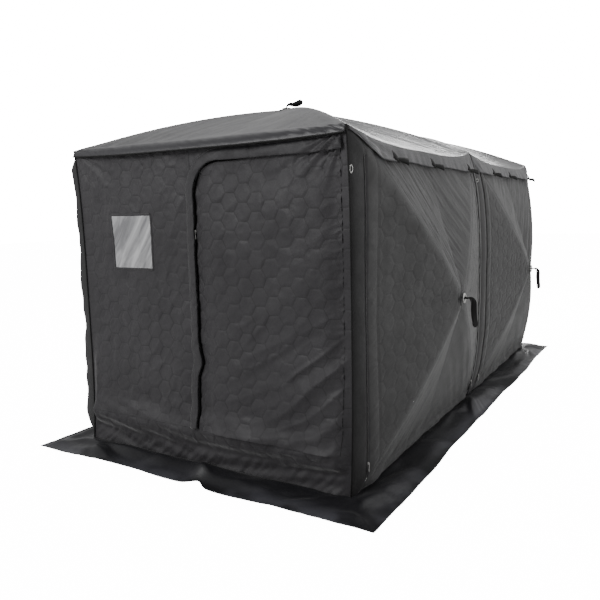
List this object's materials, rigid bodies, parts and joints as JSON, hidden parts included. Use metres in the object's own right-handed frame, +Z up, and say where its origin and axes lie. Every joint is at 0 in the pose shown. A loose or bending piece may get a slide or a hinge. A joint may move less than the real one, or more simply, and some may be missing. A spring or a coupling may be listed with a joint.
{
  "type": "pop up ground blind",
  "caption": "Insulated pop up shelter of two joined cubes, with spring-out pole hubs, zipped doors, clear windows and a ground skirt.",
  "frame": {"origin": "on the ground at the centre of the floor plan", "axes": "+Y along the shelter from the front door wall to the rear one, +X to the right seen from the front, +Z up"},
  "size_m": [2.38, 4.244, 2.09],
  "materials": {
    "quilted_cloth": "matte",
    "roof_cloth": "satin",
    "skirt_cloth": "satin",
    "window_film": "gloss",
    "black_plastic": "satin",
    "black_webbing": "matte",
    "pole_fibreglass": "satin",
    "zip_metal": "satin"
  },
  "bodies": {
    "shelter": {"front_end_wall": "quilted_cloth", "rear_end_wall": "quilted_cloth", "window_panes": "window_film", "ground_skirt": "skirt_cloth", "corner_brackets": "black_plastic", "eave_toggles": "black_webbing", "right_front_side_wall": "quilted_cloth", "left_front_side_wall": "quilted_cloth", "roof_panel_front": "roof_cloth", "right_rear_side_wall": "quilted_cloth", "left_rear_side_wall": "quilted_cloth", "roof_panel_rear": "roof_cloth"},
    "front_door": {"front_door": "quilted_cloth"},
    "front_door_slider": {"front_door_slider": "zip_metal"},
    "rear_door": {"rear_door": "quilted_cloth"},
    "rear_door_slider": {"rear_door_slider": "zip_metal"},
    "right_front_hub": {"right_front_hub": "black_plastic", "right_front_hub_pull": "black_webbing"},
    "right_front_pole_bottom_front": {"right_front_pole_bottom_front": "pole_fibreglass"},
    "right_front_pole_bottom_rear": {"right_front_pole_bottom_rear": "pole_fibreglass"},
    "right_front_pole_top_rear": {"right_front_pole_top_rear": "pole_fibreglass"},
    "right_front_pole_top_front": {"right_front_pole_top_front": "pole_fibreglass"},
    "right_front_zip_slider_front": {"right_front_zip_slider_front": "zip_metal"},
    "right_front_zip_slider_rear": {"right_front_zip_slider_rear": "zip_metal"},
    "left_front_hub": {"left_front_hub": "black_plastic", "left_front_hub_pull": "black_webbing"},
    "left_front_pole_bottom_rear": {"left_front_pole_bottom_rear": "pole_fibreglass"},
    "left_front_pole_bottom_front": {"left_front_pole_bottom_front": "pole_fibreglass"},
    "left_front_pole_top_front": {"left_front_pole_top_front": "pole_fibreglass"},
    "left_front_pole_top_rear": {"left_front_pole_top_rear": "pole_fibreglass"},
    "left_front_zip_slider_rear": {"left_front_zip_slider_rear": "zip_metal"},
    "left_front_zip_slider_front": {"left_front_zip_slider_front": "zip_metal"},
    "roof_front_hub": {"roof_front_hub": "black_plastic", "roof_front_hub_pull": "black_webbing"},
    "roof_front_pole_left_front": {"roof_front_pole_left_front": "pole_fibreglass"},
    "roof_front_pole_right_front": {"roof_front_pole_right_front": "pole_fibreglass"},
    "roof_front_pole_right_rear": {"roof_front_pole_right_rear": "pole_fibreglass"},
    "roof_front_pole_left_rear": {"roof_front_pole_left_rear": "pole_fibreglass"},
    "right_rear_hub": {"right_rear_hub": "black_plastic", "right_rear_hub_pull": "black_webbing"},
    "right_rear_pole_bottom_front": {"right_rear_pole_bottom_front": "pole_fibreglass"},
    "right_rear_pole_bottom_rear": {"right_rear_pole_bottom_rear": "pole_fibreglass"},
    "right_rear_pole_top_rear": {"right_rear_pole_top_rear": "pole_fibreglass"},
    "right_rear_pole_top_front": {"right_rear_pole_top_front": "pole_fibreglass"},
    "right_rear_zip_slider_front": {"right_rear_zip_slider_front": "zip_metal"},
    "right_rear_zip_slider_rear": {"right_rear_zip_slider_rear": "zip_metal"},
    "left_rear_hub": {"left_rear_hub": "black_plastic", "left_rear_hub_pull": "black_webbing"},
    "left_rear_pole_bottom_rear": {"left_rear_pole_bottom_rear": "pole_fibreglass"},
    "left_rear_pole_bottom_front": {"left_rear_pole_bottom_front": "pole_fibreglass"},
    "left_rear_pole_top_front": {"left_rear_pole_top_front": "pole_fibreglass"},
    "left_rear_pole_top_rear": {"left_rear_pole_top_rear": "pole_fibreglass"},
    "left_rear_zip_slider_rear": {"left_rear_zip_slider_rear": "zip_metal"},
    "left_rear_zip_slider_front": {"left_rear_zip_slider_front": "zip_metal"},
    "roof_rear_hub": {"roof_rear_hub": "black_plastic", "roof_rear_hub_pull": "black_webbing"},
    "roof_rear_pole_left_front": {"roof_rear_pole_left_front": "pole_fibreglass"},
    "roof_rear_pole_right_front": {"roof_rear_pole_right_front": "pole_fibreglass"},
    "roof_rear_pole_right_rear": {"roof_rear_pole_right_rear": "pole_fibreglass"},
    "roof_rear_pole_left_rear": {"roof_rear_pole_left_rear": "pole_fibreglass"}
  },
  "joints": [
    {"name": "front_door_hinge", "type": "hinge", "parent": "shelter", "child": "front_door", "pos_m": [0.86, -1.90125, 0.975], "axis": [0, 0, 1], "range_deg": [0, 110]},
    {"name": "front_door_zip", "type": "slide", "parent": "shelter", "child": "front_door_slider", "axis": [0, 0, 1], "range_m": [-0.98, 0.18]},
    {"name": "rear_door_hinge", "type": "hinge", "parent": "shelter", "child": "rear_door", "pos_m": [-0.86, 1.90125, 0.975], "axis": [0, 0, 1], "range_deg": [0, 110]},
    {"name": "rear_door_zip", "type": "slide", "parent": "shelter", "child": "rear_door_slider", "axis": [0, 0, 1], "range_m": [-0.98, 0.18]},
    {"name": "right_front_hub_pop", "type": "slide", "parent": "shelter", "child": "right_front_hub", "axis": [1, 0, 0], "range_m": [-0.524, 0], "deforming": ["right_front_hub_pull"]},
    {"name": "right_front_pole_bottom_front_pivot", "type": "hinge", "parent": "shelter", "child": "right_front_pole_bottom_front", "pos_m": [0.88, -1.83466, 0.0619], "axis": [0, -0.6877, 0.726], "range_deg": [-0.01, 25.28]},
    {"name": "right_front_pole_bottom_rear_pivot", "type": "hinge", "parent": "shelter", "child": "right_front_pole_bottom_rear", "pos_m": [0.88, -0.06534, 0.0619], "axis": [0, -0.6877, -0.726], "range_deg": [-0.01, 25.28]},
    {"name": "right_front_pole_top_rear_pivot", "type": "hinge", "parent": "shelter", "child": "right_front_pole_top_rear", "pos_m": [0.88, -0.06534, 1.7381], "axis": [0, 0.6877, -0.726], "range_deg": [-0.01, 25.28]},
    {"name": "right_front_pole_top_front_pivot", "type": "hinge", "parent": "shelter", "child": "right_front_pole_top_front", "pos_m": [0.88, -1.83466, 1.7381], "axis": [0, 0.6877, 0.726], "range_deg": [-0.01, 25.28]},
    {"name": "right_front_zip_slider_front_run", "type": "slide", "parent": "shelter", "child": "right_front_zip_slider_front", "axis": [0, 0, 1], "range_m": [-0.02, 1.44]},
    {"name": "right_front_zip_slider_rear_run", "type": "slide", "parent": "shelter", "child": "right_front_zip_slider_rear", "axis": [0, 0, 1], "range_m": [-0.02, 1.44]},
    {"name": "left_front_hub_pop", "type": "slide", "parent": "shelter", "child": "left_front_hub", "axis": [-1, 0, 0], "range_m": [-0.524, 0], "deforming": ["left_front_hub_pull"]},
    {"name": "left_front_pole_bottom_rear_pivot", "type": "hinge", "parent": "shelter", "child": "left_front_pole_bottom_rear", "pos_m": [-0.88, -0.06534, 0.0619], "axis": [0, 0.6877, 0.726], "range_deg": [-0.01, 25.28]},
    {"name": "left_front_pole_bottom_front_pivot", "type": "hinge", "parent": "shelter", "child": "left_front_pole_bottom_front", "pos_m": [-0.88, -1.83466, 0.0619], "axis": [0, 0.6877, -0.726], "range_deg": [-0.01, 25.28]},
    {"name": "left_front_pole_top_front_pivot", "type": "hinge", "parent": "shelter", "child": "left_front_pole_top_front", "pos_m": [-0.88, -1.83466, 1.7381], "axis": [0, -0.6877, -0.726], "range_deg": [-0.01, 25.28]},
    {"name": "left_front_pole_top_rear_pivot", "type": "hinge", "parent": "shelter", "child": "left_front_pole_top_rear", "pos_m": [-0.88, -0.06534, 1.7381], "axis": [0, -0.6877, 0.726], "range_deg": [-0.01, 25.28]},
    {"name": "left_front_zip_slider_rear_run", "type": "slide", "parent": "shelter", "child": "left_front_zip_slider_rear", "axis": [0, 0, 1], "range_m": [-0.02, 1.44]},
    {"name": "left_front_zip_slider_front_run", "type": "slide", "parent": "shelter", "child": "left_front_zip_slider_front", "axis": [0, 0, 1], "range_m": [-0.02, 1.44]},
    {"name": "roof_front_hub_pop", "type": "slide", "parent": "shelter", "child": "roof_front_hub", "axis": [0, 0, 1], "range_m": [-0.524, 0], "deforming": ["roof_front_hub_pull"]},
    {"name": "roof_front_pole_left_front_pivot", "type": "hinge", "parent": "shelter", "child": "roof_front_pole_left_front", "pos_m": [-0.8381, -1.83466, 1.78], "axis": [-0.726, 0.6877, 0], "range_deg": [-0.01, 25.28]},
    {"name": "roof_front_pole_right_front_pivot", "type": "hinge", "parent": "shelter", "child": "roof_front_pole_right_front", "pos_m": [0.8381, -1.83466, 1.78], "axis": [-0.726, -0.6877, 0], "range_deg": [-0.01, 25.28]},
    {"name": "roof_front_pole_right_rear_pivot", "type": "hinge", "parent": "shelter", "child": "roof_front_pole_right_rear", "pos_m": [0.8381, -0.06534, 1.78], "axis": [0.726, -0.6877, 0], "range_deg": [-0.01, 25.28]},
    {"name": "roof_front_pole_left_rear_pivot", "type": "hinge", "parent": "shelter", "child": "roof_front_pole_left_rear", "pos_m": [-0.8381, -0.06534, 1.78], "axis": [0.726, 0.6877, 0], "range_deg": [-0.01, 25.28]},
    {"name": "right_rear_hub_pop", "type": "slide", "parent": "shelter", "child": "right_rear_hub", "axis": [1, 0, 0], "range_m": [-0.524, 0], "deforming": ["right_rear_hub_pull"]},
    {"name": "right_rear_pole_bottom_front_pivot", "type": "hinge", "parent": "shelter", "child": "right_rear_pole_bottom_front", "pos_m": [0.88, 0.06534, 0.0619], "axis": [0, -0.6877, 0.726], "range_deg": [-0.01, 25.28]},
    {"name": "right_rear_pole_bottom_rear_pivot", "type": "hinge", "parent": "shelter", "child": "right_rear_pole_bottom_rear", "pos_m": [0.88, 1.83466, 0.0619], "axis": [0, -0.6877, -0.726], "range_deg": [-0.01, 25.28]},
    {"name": "right_rear_pole_top_rear_pivot", "type": "hinge", "parent": "shelter", "child": "right_rear_pole_top_rear", "pos_m": [0.88, 1.83466, 1.7381], "axis": [0, 0.6877, -0.726], "range_deg": [-0.01, 25.28]},
    {"name": "right_rear_pole_top_front_pivot", "type": "hinge", "parent": "shelter", "child": "right_rear_pole_top_front", "pos_m": [0.88, 0.06534, 1.7381], "axis": [0, 0.6877, 0.726], "range_deg": [-0.01, 25.28]},
    {"name": "right_rear_zip_slider_front_run", "type": "slide", "parent": "shelter", "child": "right_rear_zip_slider_front", "axis": [0, 0, 1], "range_m": [-0.02, 1.44]},
    {"name": "right_rear_zip_slider_rear_run", "type": "slide", "parent": "shelter", "child": "right_rear_zip_slider_rear", "axis": [0, 0, 1], "range_m": [-0.02, 1.44]},
    {"name": "left_rear_hub_pop", "type": "slide", "parent": "shelter", "child": "left_rear_hub", "axis": [-1, 0, 0], "range_m": [-0.524, 0], "deforming": ["left_rear_hub_pull"]},
    {"name": "left_rear_pole_bottom_rear_pivot", "type": "hinge", "parent": "shelter", "child": "left_rear_pole_bottom_rear", "pos_m": [-0.88, 1.83466, 0.0619], "axis": [0, 0.6877, 0.726], "range_deg": [-0.01, 25.28]},
    {"name": "left_rear_pole_bottom_front_pivot", "type": "hinge", "parent": "shelter", "child": "left_rear_pole_bottom_front", "pos_m": [-0.88, 0.06534, 0.0619], "axis": [0, 0.6877, -0.726], "range_deg": [-0.01, 25.28]},
    {"name": "left_rear_pole_top_front_pivot", "type": "hinge", "parent": "shelter", "child": "left_rear_pole_top_front", "pos_m": [-0.88, 0.06534, 1.7381], "axis": [0, -0.6877, -0.726], "range_deg": [-0.01, 25.28]},
    {"name": "left_rear_pole_top_rear_pivot", "type": "hinge", "parent": "shelter", "child": "left_rear_pole_top_rear", "pos_m": [-0.88, 1.83466, 1.7381], "axis": [0, -0.6877, 0.726], "range_deg": [-0.01, 25.28]},
    {"name": "left_rear_zip_slider_rear_run", "type": "slide", "parent": "shelter", "child": "left_rear_zip_slider_rear", "axis": [0, 0, 1], "range_m": [-0.02, 1.44]},
    {"name": "left_rear_zip_slider_front_run", "type": "slide", "parent": "shelter", "child": "left_rear_zip_slider_front", "axis": [0, 0, 1], "range_m": [-0.02, 1.44]},
    {"name": "roof_rear_hub_pop", "type": "slide", "parent": "shelter", "child": "roof_rear_hub", "axis": [0, 0, 1], "range_m": [-0.524, 0], "deforming": ["roof_rear_hub_pull"]},
    {"name": "roof_rear_pole_left_front_pivot", "type": "hinge", "parent": "shelter", "child": "roof_rear_pole_left_front", "pos_m": [-0.8381, 0.06534, 1.78], "axis": [-0.726, 0.6877, 0], "range_deg": [-0.01, 25.28]},
    {"name": "roof_rear_pole_right_front_pivot", "type": "hinge", "parent": "shelter", "child": "roof_rear_pole_right_front", "pos_m": [0.8381, 0.06534, 1.78], "axis": [-0.726, -0.6877, 0], "range_deg": [-0.01, 25.28]},
    {"name": "roof_rear_pole_right_rear_pivot", "type": "hinge", "parent": "shelter", "child": "roof_rear_pole_right_rear", "pos_m": [0.8381, 1.83466, 1.78], "axis": [0.726, -0.6877, 0], "range_deg": [-0.01, 25.28]},
    {"name": "roof_rear_pole_left_rear_pivot", "type": "hinge", "parent": "shelter", "child": "roof_rear_pole_left_rear", "pos_m": [-0.8381, 1.83466, 1.78], "axis": [0.726, 0.6877, 0], "range_deg": [-0.01, 25.28]}
  ],
  "couplings": [
    {"joint": "right_front_pole_bottom_front_pivot", "follows": "right_front_hub_pop", "rad_per_m": -0.84179},
    {"joint": "right_front_pole_bottom_rear_pivot", "follows": "right_front_hub_pop", "rad_per_m": -0.84179},
    {"joint": "right_front_pole_top_rear_pivot", "follows": "right_front_hub_pop", "rad_per_m": -0.84179},
    {"joint": "right_front_pole_top_front_pivot", "follows": "right_front_hub_pop", "rad_per_m": -0.84179},
    {"joint": "left_front_pole_bottom_rear_pivot", "follows": "left_front_hub_pop", "rad_per_m": -0.84179},
    {"joint": "left_front_pole_bottom_front_pivot", "follows": "left_front_hub_pop", "rad_per_m": -0.84179},
    {"joint": "left_front_pole_top_front_pivot", "follows": "left_front_hub_pop", "rad_per_m": -0.84179},
    {"joint": "left_front_pole_top_rear_pivot", "follows": "left_front_hub_pop", "rad_per_m": -0.84179},
    {"joint": "roof_front_pole_left_front_pivot", "follows": "roof_front_hub_pop", "rad_per_m": -0.84179},
    {"joint": "roof_front_pole_right_front_pivot", "follows": "roof_front_hub_pop", "rad_per_m": -0.84179},
    {"joint": "roof_front_pole_right_rear_pivot", "follows": "roof_front_hub_pop", "rad_per_m": -0.84179},
    {"joint": "roof_front_pole_left_rear_pivot", "follows": "roof_front_hub_pop", "rad_per_m": -0.84179},
    {"joint": "right_rear_pole_bottom_front_pivot", "follows": "right_rear_hub_pop", "rad_per_m": -0.84179},
    {"joint": "right_rear_pole_bottom_rear_pivot", "follows": "right_rear_hub_pop", "rad_per_m": -0.84179},
    {"joint": "right_rear_pole_top_rear_pivot", "follows": "right_rear_hub_pop", "rad_per_m": -0.84179},
    {"joint": "right_rear_pole_top_front_pivot", "follows": "right_rear_hub_pop", "rad_per_m": -0.84179},
    {"joint": "left_rear_pole_bottom_rear_pivot", "follows": "left_rear_hub_pop", "rad_per_m": -0.84179},
    {"joint": "left_rear_pole_bottom_front_pivot", "follows": "left_rear_hub_pop", "rad_per_m": -0.84179},
    {"joint": "left_rear_pole_top_front_pivot", "follows": "left_rear_hub_pop", "rad_per_m": -0.84179},
    {"joint": "left_rear_pole_top_rear_pivot", "follows": "left_rear_hub_pop", "rad_per_m": -0.84179},
    {"joint": "roof_rear_pole_left_front_pivot", "follows": "roof_rear_hub_pop", "rad_per_m": -0.84179},
    {"joint": "roof_rear_pole_right_front_pivot", "follows": "roof_rear_hub_pop", "rad_per_m": -0.84179},
    {"joint": "roof_rear_pole_right_rear_pivot", "follows": "roof_rear_hub_pop", "rad_per_m": -0.84179},
    {"joint": "roof_rear_pole_left_rear_pivot", "follows": "roof_rear_hub_pop", "rad_per_m": -0.84179}
  ]
}
